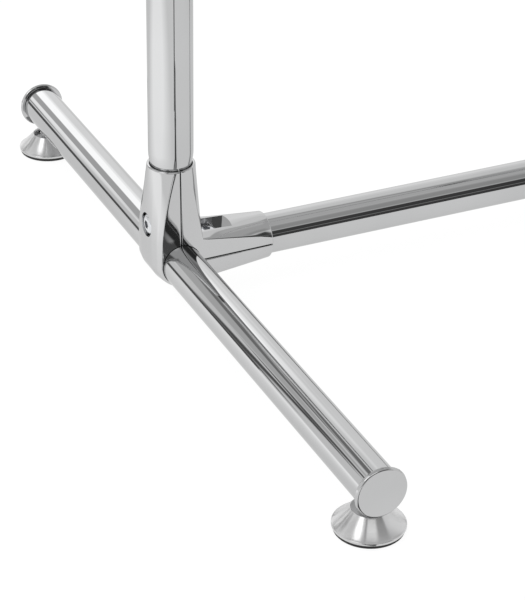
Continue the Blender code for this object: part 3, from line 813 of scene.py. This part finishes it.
def inner_shell_tools():
    """The tubes' bores, and a pocket with a screw hole in each arm."""
    diagonal = Matrix(((0, 0, 1, 0), (0, 1, 0, 0), (1, 0, 0, 0), (0, 0, 0, 1)))
    tools = tube_bores()
    for swap in (Matrix(), diagonal):
        place = swap @ Matrix.Translation((SCREW_OFFSET, 0, 0))
        tools += [pocket(swap), rod(SCREW_HOLE, HOLE_START, SEAT_DEPTH + OVERLAP, SMALL, place)]
    return tools


def shell_matrix(side, hand):
    """From the connector's frame, +X towards the stand's middle, to the world."""
    place = Vector((centre(f"base_tube_{side}").x, UPRIGHT_Y, TUBE_AXIS))
    return Matrix.Translation(place) @ Matrix.Diagonal((hand, 1, 1, 1))


def in_frame(mesh_data, matrix):
    bmesh.ops.transform(mesh_data, matrix=matrix, verts=mesh_data.verts)
    return mesh_data


def make_connector(side, hand):
    place = shell_matrix(side, hand)
    spot = Matrix.Translation(place.translation)
    mirror = Matrix.Diagonal((hand, 1, 1, 1))
    for part, rings, tools in (
        ("outer", outer_shell_rings(), outer_shell_tools()),
        ("inner", inner_shell_rings(), inner_shell_tools()),
    ):
        shell = in_frame(grid(rings), mirror)
        cuts = [in_frame(tool, mirror) for tool in tools]
        piece(f"connector_{part}_shell_{side}", shell, spot, cuts=cuts, softness=0.0003)


def make_screw(name, axis, seat):
    """Button head screw: domed head with a hex socket, threaded shank below."""
    head, socket, socket_floor, run_in = 0.0035, 0.0027, 0.0011, 0.0004
    length = max(extent(name)) - head
    outline = [(0, 0), (0.0062, 0), (0.0065, 0.0003), (0.0065, 0.0012)]
    outline += [(0.0061, 0.0021), (0.0053, 0.0028), (0.0043, 0.0033), (0.0034, head), (0, head)]
    obj = new_object(f"fine_{name}", revolve(outline, MEDIUM), along(axis, seat))
    carve(obj, [prism(polygon(6, socket), socket_floor, BEYOND)])
    carve(obj, [threaded_rod(SCREW_RADIUS, SCREW_PITCH, -length, run_in)], "UNION")
    stand_for(obj, name)


def nut_mesh(radius, height):
    """Hexagon nut whose corners are turned down at both faces."""
    chamfer, half_side, side = 0.0006, math.radians(30), math.radians(60)
    flat = radius * math.cos(half_side)
    rings = []
    for level, limit in ((0, flat), (chamfer, radius), (height - chamfer, radius), (height, flat)):
        ring = []
        for angle in round_angles(NUT_SEGMENTS):
            off = (angle + half_side) % side - half_side
            reach = min(limit, flat / math.cos(half_side - abs(off)))
            ring.append((reach * math.cos(angle), reach * math.sin(angle), level))
        rings.append(ring)
    return grid(rings)


def make_nut(name, axis, seat):
    radius, height = 0.0058, 0.0045
    bore = rod(SCREW_HOLE, -BEYOND, height + BEYOND)
    piece(name, nut_mesh(radius, height), along(axis, seat), cuts=[bore])


def make_fasteners(side, hand):
    frame_matrix = shell_matrix(side, hand)
    side_seat = frame_matrix @ Vector((-SIDE_SEAT - GAP, 0, SCREW_OFFSET))
    top_seat = frame_matrix @ Vector((SCREW_OFFSET, 0, SEAT_DEPTH + GAP))
    make_screw(f"clamp_screw_side_{side}", (-hand, 0, 0), side_seat)
    make_screw(f"clamp_screw_top_{side}", (0, 0, 1), top_seat)
    side_nut = frame_matrix @ Vector((SEAT_DEPTH + GAP, 0, SCREW_OFFSET))
    top_nut = frame_matrix @ Vector((SCREW_OFFSET, 0, -NUT_FLOOR - GAP))
    make_nut(f"clamp_nut_side_{side}", (hand, 0, 0), side_nut)
    make_nut(f"clamp_nut_top_{side}", (0, 0, -1), top_nut)


# Uprights, cross tube and height clamps


def make_cross_tube():
    half = extent("cross_tube").x / 2
    outline = tube_outline(TUBE_RADIUS, TUBE_RADIUS - TUBE_WALL, -half, half)
    piece("cross_tube", revolve(outline, FINE, True), along((1, 0, 0), centre("cross_tube")))


def lock_hole(side):
    """The hole in the back wall that the lock screw passes through."""
    passage = along((0, 1, 0), (0, 0, centre(f"height_collar_{side}").z))
    return rod(LOCK_HOLE, *WALL_CUT, SMALL, passage)


def make_lower_upright(side):
    """Tube with its lower end drawn in to the connector's bore."""
    name = f"lower_upright_{side}"
    low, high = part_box(name)
    spot = centre(name)
    neck = TUBE_AXIS + SOCKET_END
    taper, lag, steps = 0.009, 0.001, 16
    outer, inner = [], []
    for step in range(steps + 1):
        share = step / steps
        swell = (UPRIGHT_RADIUS - TUBE_RADIUS) * math.sin(math.pi / 2 * share)
        outer.append((TUBE_RADIUS + swell, neck + taper * share))
        inner.append((TUBE_RADIUS + swell - UPRIGHT_WALL, neck + lag + taper * share))
    outline = [(TUBE_RADIUS, low.z), (TUBE_RADIUS, neck - RIM_EDGE)] + outer
    outline += [(UPRIGHT_RADIUS, high.z - 2 * RIM_EDGE)] + top_rim(UPRIGHT_RADIUS, high.z, RIM_EDGE, 3)
    outline += [(UPRIGHT_RADIUS - UPRIGHT_WALL, high.z)] + inner[::-1]
    outline += [(TUBE_RADIUS - UPRIGHT_WALL, low.z)]
    matrix = Matrix.Translation((spot.x, UPRIGHT_Y, 0))
    piece(name, revolve(outline, FINE, True), matrix, cuts=[lock_hole(side)])


def make_guide_bush(side):
    """Plastic lining in the upright's mouth, with a flange on the rim."""
    name = f"guide_bush_{side}"
    low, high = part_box(name)
    outer = UPRIGHT_RADIUS - UPRIGHT_WALL - GAP
    inner = UPPER_RADIUS + GAP
    flange, edge, lower_edge = 0.0018, 0.0005, 0.0002
    seat = high.z - flange + GAP
    outline = [(inner, low.z), (outer, low.z), (outer, seat), (UPRIGHT_RADIUS - lower_edge, seat)]
    outline += [(UPRIGHT_RADIUS, seat + lower_edge)]
    outline += top_rim(UPRIGHT_RADIUS, high.z, edge, 5)
    outline += arc((inner + edge, high.z - edge), edge, 90, 180, 5)
    matrix = Matrix.Translation((centre(name).x, UPRIGHT_Y, 0))
    piece(name, revolve(outline, FINE, True), matrix, cuts=[lock_hole(side)])


def barrel(radius, half, matrix=None):
    """A solid cylinder about its middle with rounded rims."""
    edge = 0.0012
    outline = [(0, -half)] + bottom_rim(radius, -half, edge, 6)
    outline += top_rim(radius, half, edge, 6) + [(0, half)]
    return revolve(outline, FINE, False, matrix)


def boss(radius, start, end, edge=0.0008, segments=MEDIUM, matrix=None):
    """A solid cylinder whose far rim is rounded."""
    outline = [(0, start), (radius, start)] + top_rim(radius, end, edge, 5)
    return revolve(outline + [(0, end)], segments, False, matrix)


def make_height_collar(side):
    """Ring round the upright, with a boss behind it for the lock screw."""
    name = f"height_collar_{side}"
    spot = Vector((centre(name).x, UPRIGHT_Y, centre(name).z))
    half = extent(name).z / 2
    ring, neck, inside, outside = 0.0185, 0.0080, 0.004, 0.03
    back = along((0, 1, 0))
    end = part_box(name)[1].y - UPRIGHT_Y
    bosses = [boss(neck, inside, end, matrix=back)]
    holes = [rod(UPRIGHT_RADIUS + GAP, -0.02, 0.02, FINE), rod(SCREW_HOLE, 0.010, outside, SMALL, back)]
    piece(name, barrel(ring, half), Matrix.Translation(spot), bosses, holes, 0.0006)


# Lock knob: mean radius, segments, the lobes' number and height, and the share of it where they vanish
KNOB_RADIUS = 0.0155
KNOB_SEGMENTS = 120
LOBES = 6
LOBE_HEIGHT = 0.0018
HUB_SHARE = 0.45


def knob_rings(front, end):
    """Sections from the hub at the front, along the lobes, to the dished face."""
    sections = [(front, 0.58), (front + 0.0004, 0.62), (front + 0.0020, 0.64), (front + 0.0030, 0.70)]
    sections += [(front + 0.0042, 0.90), (front + 0.0050, 0.965), (front + 0.0060, 0.99)]
    sections += [(front + 0.0070, 1.0), (end - 0.0024, 1.0), (end - 0.0016, 0.985)]
    sections += [(end - 0.0008, 0.95), (end - 0.0002, 0.89), (end, 0.82), (end, 0.60)]
    sections += [(end - 0.0006, 0.50), (end - 0.0009, 0.30)]
    rings = []
    for reach, scale in sections:
        fade = min(1.0, max(0.0, (scale - HUB_SHARE) / HUB_SHARE))
        ring = []
        for angle in round_angles(KNOB_SEGMENTS):
            lobes = LOBE_HEIGHT * math.cos(LOBES * angle) * fade
            radius = scale * (KNOB_RADIUS + lobes)
            ring.append((radius * math.cos(angle), radius * math.sin(angle), reach))
        rings.append(ring)
    return rings


def make_lock_knob(side):
    """Six-lobed knob with rounded edges and a dished face, on a threaded stud."""
    knob, stud = f"lock_knob_{side}", f"lock_stud_{side}"
    spot = Vector((centre(knob).x, UPRIGHT_Y, centre(knob).z))
    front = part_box(knob)[0].y - UPRIGHT_Y
    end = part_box(knob)[1].y - UPRIGHT_Y
    matrix = along((0, 1, 0), spot)
    stud_low, stud_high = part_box(stud)
    bore_start, bore_end = 0.020, stud_high.y - UPRIGHT_Y + GAP
    piece(knob, grid(knob_rings(front, end)), matrix, cuts=[rod(SCREW_HOLE, bore_start, bore_end)])
    thread = threaded_rod(SCREW_RADIUS, SCREW_PITCH, stud_low.y - UPRIGHT_Y, stud_high.y - UPRIGHT_Y)
    piece(stud, thread, matrix)


# Upper frame


def make_upper_frame_tube():
    low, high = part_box("upper_frame_tube")
    half = BASE_WIDTH / 2
    top = high.z - UPPER_RADIUS
    bend = 0.070
    corner = arc((half - bend, top - bend), bend, 0, 90, 28)
    right = [(half, low.z)] + corner
    left = [(-x, z) for x, z in reversed(right)]
    path = [Vector((x, UPRIGHT_Y, z)) for x, z in right + left]
    piece("upper_frame_tube", bent_tube(path, UPPER_RADIUS, UPPER_RADIUS - UPPER_WALL))


def make_trouser_bar():
    half = extent("trouser_bar").x / 2
    outline = tube_outline(BAR_RADIUS, BAR_RADIUS - BAR_WALL, -half, half)
    piece("trouser_bar", revolve(outline, MEDIUM, True), along((1, 0, 0), centre("trouser_bar")))


def make_bar_clamp(side, hand):
    """Ring on the upper frame's leg with a socket for the trouser bar, and its grub screw."""
    name, screw = f"bar_clamp_{side}", f"bar_clamp_screw_{side}"
    spot = Vector((-hand * BASE_WIDTH / 2, UPRIGHT_Y, centre(name).z))
    half = extent(name).z / 2
    ring, socket, inside, reach, socket_floor = 0.0155, 0.0090, 0.004, 0.028, 0.0157
    inward, back = along((hand, 0, 0)), along((0, 1, 0))
    bosses = [boss(socket, inside, reach, matrix=inward)]
    leg = rod(UPPER_RADIUS + GAP, -0.02, 0.02, FINE)
    bar = rod(BAR_RADIUS + GAP, socket_floor, 0.04, MEDIUM, inward)
    grub = rod(GRUB_RADIUS + GAP, 0.009, 0.02, SMALL, back)
    piece(name, barrel(ring, half), Matrix.Translation(spot), bosses, [leg, bar, grub], 0.0005)
    low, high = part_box(screw)
    start, end = low.y - UPRIGHT_Y, high.y - UPRIGHT_Y
    thread = threaded_rod(GRUB_RADIUS, GRUB_PITCH, start, end)
    hexagon, depth = 0.0013, 0.002
    key = prism(polygon(6, hexagon), end - depth, end + BEYOND)
    piece(screw, thread, along((0, 1, 0), spot), cuts=[key])


# Jacket hanger: half its span, how far its ends come forward and drop, and where its last bend starts
HANGER_HALF = 0.205
HANGER_FORWARD = 0.030
HANGER_DROP = 0.052
HANGER_STEPS = 32
LAST_BEND = 5 / 6


def hanger_peak():
    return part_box("hanger_post")[1].z + SHOULDER_RADIUS + GAP


def hanger_point(share):
    """On the shoulder tube's axis, from -1 at its left end to 1 at its right end."""
    y = UPRIGHT_Y - HANGER_FORWARD * share**2
    return Vector((HANGER_HALF * share, y, hanger_peak() - HANGER_DROP * share**2))


def make_hanger_bracket():
    """Ring on the top rail with a sleeve for the post."""
    name = "hanger_bracket"
    rail = Vector((0, UPRIGHT_Y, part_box("upper_frame_tube")[1].z - UPPER_RADIUS))
    half = extent(name).x / 2
    ring, sleeve, inside, top, sleeve_floor = 0.0155, 0.0115, 0.005, 0.034, 0.0130
    across = along((1, 0, 0))
    bosses = [boss(sleeve, inside, top, 0.001, FINE)]
    rail_bore = rod(UPPER_RADIUS + GAP, -0.03, 0.03, FINE, across)
    post_bore = rod(POST_RADIUS + GAP, sleeve_floor, 0.040, MEDIUM)
    mesh_data = barrel(ring, half, across)
    piece(name, mesh_data, Matrix.Translation(rail), bosses, [rail_bore, post_bore], 0.0006)


def make_hanger_post():
    """Tube whose top is cut round to fit under the shoulder tube."""
    name = "hanger_post"
    low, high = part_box(name)
    horns, half = 0.0060, 0.02
    outline = tube_outline(POST_RADIUS, POST_RADIUS - POST_WALL, low.z, high.z + horns)
    matrix = Matrix.Translation((0, UPRIGHT_Y, 0))
    saddle = rod(SHOULDER_RADIUS + GAP, -half, half, FINE, along((1, 0, 0), (0, 0, hanger_peak())))
    piece(name, revolve(outline, MEDIUM, True), matrix, cuts=[saddle])


def make_shoulder_tube():
    """Arched tube and its domed end plugs."""
    steps = range(-HANGER_STEPS, HANGER_STEPS + 1)
    path = [hanger_point(step / HANGER_STEPS) for step in steps]
    piece("shoulder_tube", bent_tube(path, SHOULDER_RADIUS, SHOULDER_RADIUS - SHOULDER_WALL))
    spigot, depth, dome = 0.0065, 0.012, 0.0008
    outline = [(0, -depth), (spigot, -depth), (spigot, GAP), (0.0078, GAP)]
    outline += arc((0, dome), SHOULDER_RADIUS, 0, 90, 14)[:-1] + [(0, SHOULDER_RADIUS + dome)]
    for side, sign in (("left", -1), ("right", 1)):
        end = hanger_point(sign)
        matrix = along(end - hanger_point(sign * LAST_BEND), end)
        piece(f"shoulder_plug_{side}", revolve(outline, MEDIUM), matrix)


def finish_hidden_nodes():
    """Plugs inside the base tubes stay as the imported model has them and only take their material."""
    for name, obj in frame["nodes"].items():
        if not obj.hide_render:
            obj.data.materials.clear()
            obj.data.materials.append(MATERIALS[SLOT_OF[name]])


# Studio: pale floor, painted surroundings, two dark cards, one soft light and the camera


def light_up(tree, shader, grey, strength):
    """A surface of the given grey that shines white and doesn't reflect."""
    shader.inputs["Base Color"].default_value = (grey, grey, grey, 1)
    shader.inputs["Specular IOR Level"].default_value = 0.0
    shader.inputs["Emission Color"].default_value = (1, 1, 1, 1)
    tree.links.new(strength, shader.inputs["Emission Strength"])


def make_floor():
    """Floor that is bright by its own glow, so that shadows stay faint, and brighter to the left, where a
    pool of light is painted into its glow.
    """
    mesh_data = bmesh.new()
    bmesh.ops.create_grid(mesh_data, x_segments=1, y_segments=1, size=6.0)
    floor = new_object("floor", mesh_data, Matrix.Translation((0, 0, FLOOR_LEVEL)))
    material, tree, shader, where = start_material("pale_floor", 0.0)
    shader.inputs["Roughness"].default_value = 0.9
    distance = tree.nodes.new("ShaderNodeVectorMath")
    distance.operation = "DISTANCE"
    tree.links.new(where, distance.inputs[0])
    distance.inputs[1].default_value = PAINTED_POOL_CENTRE
    # Painted pool of light: the floor glows brighter near the centre point to the left
    patch = remap(tree, distance.outputs["Value"], low=0.42, high=0.0, start=0.18, end=0.38)
    glow = arithmetic(tree, "ADD", patch, FLOOR_GLOW)
    light_up(tree, shader, 0.12, glow)
    floor.data.materials.append(material)


def smooth_step(tree, value, start, end):
    made = node(tree, "ShaderNodeMapRange", Value=value, From_Min=start, From_Max=end)
    made.interpolation_type = "SMOOTHSTEP"
    return made.outputs[0]


def patch_mask(tree, azimuth, elevation, patch):
    """1 inside a soft-edged rectangle of directions, 0 outside."""
    left, right, low, high, soft = patch
    mask = smooth_step(tree, azimuth, left - soft, left + soft)
    mask = arithmetic(tree, "MULTIPLY", mask, smooth_step(tree, azimuth, right + soft, right - soft))
    mask = arithmetic(tree, "MULTIPLY", mask, smooth_step(tree, elevation, low - soft, low + soft))
    return arithmetic(tree, "MULTIPLY", mask, smooth_step(tree, elevation, high + soft, high - soft))


def make_world():
    """A studio painted by direction: soft boxes, the gaps between them, and a dark side at the front."""
    world = bpy.data.worlds.new("studio")
    bpy.context.scene.world = world
    world.use_nodes = True
    tree = world.node_tree
    tree.nodes.clear()
    where = tree.nodes.new("ShaderNodeTexCoord").outputs["Generated"]
    apart = node(tree, "ShaderNodeSeparateXYZ", Vector=where)
    azimuth = arithmetic(tree, "ARCTAN2", apart.outputs[0], apart.outputs[1])
    azimuth = arithmetic(tree, "MULTIPLY", azimuth, DEGREES)
    azimuth = arithmetic(tree, "ADD", azimuth, -AZIMUTH_START)
    azimuth = arithmetic(tree, "FLOORED_MODULO", azimuth, 360.0)
    azimuth = arithmetic(tree, "ADD", azimuth, AZIMUTH_START)
    elevation = arithmetic(tree, "ARCSINE", apart.outputs[2], 0.0)
    elevation = arithmetic(tree, "MULTIPLY", elevation, DEGREES)
    level = ROOM_LEVEL
    for *patch, radiance in STUDIO_PATCHES:
        mask = patch_mask(tree, azimuth, elevation, patch)
        mix = tree.nodes.new("ShaderNodeMix")
        for index, value in ((0, mask), (2, level), (3, radiance)):
            supply(tree, mix.inputs[index], value)
        level = mix.outputs[0]
    path = tree.nodes.new("ShaderNodeLightPath")
    room = node(tree, "ShaderNodeBackground", Strength=level)
    room.inputs["Color"].default_value = (1, 1, 1, 1)
    plain = node(tree, "ShaderNodeBackground", Color=(1, 1, 1, 1), Strength=1.0)
    mix = node(tree, "ShaderNodeMixShader")
    tree.links.new(path.outputs["Is Camera Ray"], mix.inputs[0])
    tree.links.new(room.outputs[0], mix.inputs[1])
    tree.links.new(plain.outputs[0], mix.inputs[2])
    output = tree.nodes.new("ShaderNodeOutputWorld")
    tree.links.new(mix.outputs[0], output.inputs["Surface"])


def make_light(name, location, target, size, power):
    """A soft area light for the satin and black parts. Mirrors don't show it."""
    light = bpy.data.lights.new(name, "AREA")
    light.shape = "SQUARE"
    light.size = size
    light.energy = power
    lamp = add_object(name, light)
    lamp.location = location
    direction = Vector(target) - Vector(location)
    lamp.rotation_mode = "QUATERNION"
    lamp.rotation_quaternion = direction.to_track_quat("-Z", "Y")
    lamp.visible_glossy = False


def make_card(name, corners, glow):
    """A dark card that only mirrors show."""
    mesh_data = bmesh.new()
    mesh_data.faces.new([mesh_data.verts.new(corner) for corner in corners])
    card = new_object(name, mesh_data)
    material, tree, shader, where = start_material(name, 0.0)
    cloud = remap(tree, noise(tree, where, scale=6.0), low=0.9 * glow, high=1.1 * glow)
    light_up(tree, shader, 0, cloud)
    card.data.materials.append(material)
    card.visible_camera = False
    card.visible_diffuse = False
    card.visible_shadow = False


def make_studio():
    make_floor()
    make_world()
    near, far, top = (-0.62, 0.33), (-0.52, 0.75), 0.065
    upright = [(*near, 0), (*far, 0), (*far, top), (*near, top)]
    make_card("low_card", upright, glow=0.13)
    start, end, level = -0.262, -1.6, 0.0002
    strip = [(-0.254, start, level), (-0.231, start, level), (-0.19, end, level), (-0.31, end, level)]
    make_card("floor_strip", strip, glow=0.10)
    make_light("soft_top", location=(-0.6, 0.2, 2.6), target=(0, 0, 0), size=3.0, power=12.0)


# The camera's azimuth, elevation and roll in degrees, its lens in mm, its place from the left connector
CAMERA_TURN = (-25.34, 30.13, 0.913)
CAMERA_LENS = 130.35
CAMERA_OFFSET = (-0.4438, -1.0670, 0.6379)


def make_camera():
    azimuth, elevation, roll = (math.radians(angle) for angle in CAMERA_TURN)
    back = Vector((math.sin(azimuth), -math.cos(azimuth), 0)) * math.cos(elevation)
    back.z = math.sin(elevation)
    level_right = Vector((math.cos(azimuth), math.sin(azimuth), 0))
    level_up = back.cross(level_right)
    right = level_right * math.cos(roll) + level_up * math.sin(roll)
    up = level_up * math.cos(roll) - level_right * math.sin(roll)
    corner = Vector((centre("base_tube_left").x, UPRIGHT_Y, TUBE_AXIS))
    camera = bpy.data.cameras.new("camera")
    camera.sensor_width = 36.0
    camera.lens = CAMERA_LENS
    camera.clip_start = 0.05
    camera.clip_end = 50.0
    holder = add_object("camera", camera)
    placement = Matrix((right, up, back)).transposed().to_4x4()
    placement.translation = corner + Vector(CAMERA_OFFSET)
    holder.matrix_world = placement
    bpy.context.scene.camera = holder


def make_stand():
    for side, hand in SIDES:
        make_base_tube(side)
        for place, end in ENDS:
            make_end_cap(place, side, end)
            make_foot_cone(place, side)
            make_foot_pad(place, side)
            make_foot_stud(place, side)
        make_connector(side, hand)
        make_fasteners(side, hand)
        make_lower_upright(side)
        make_guide_bush(side)
        make_height_collar(side)
        make_lock_knob(side)
        make_bar_clamp(side, hand)
    make_cross_tube()
    make_upper_frame_tube()
    make_trouser_bar()
    make_hanger_bracket()
    make_hanger_post()
    make_shoulder_tube()
    finish_hidden_nodes()


make_stand()
make_studio()
make_camera()
bpy.context.scene.view_settings.view_transform = "Standard"
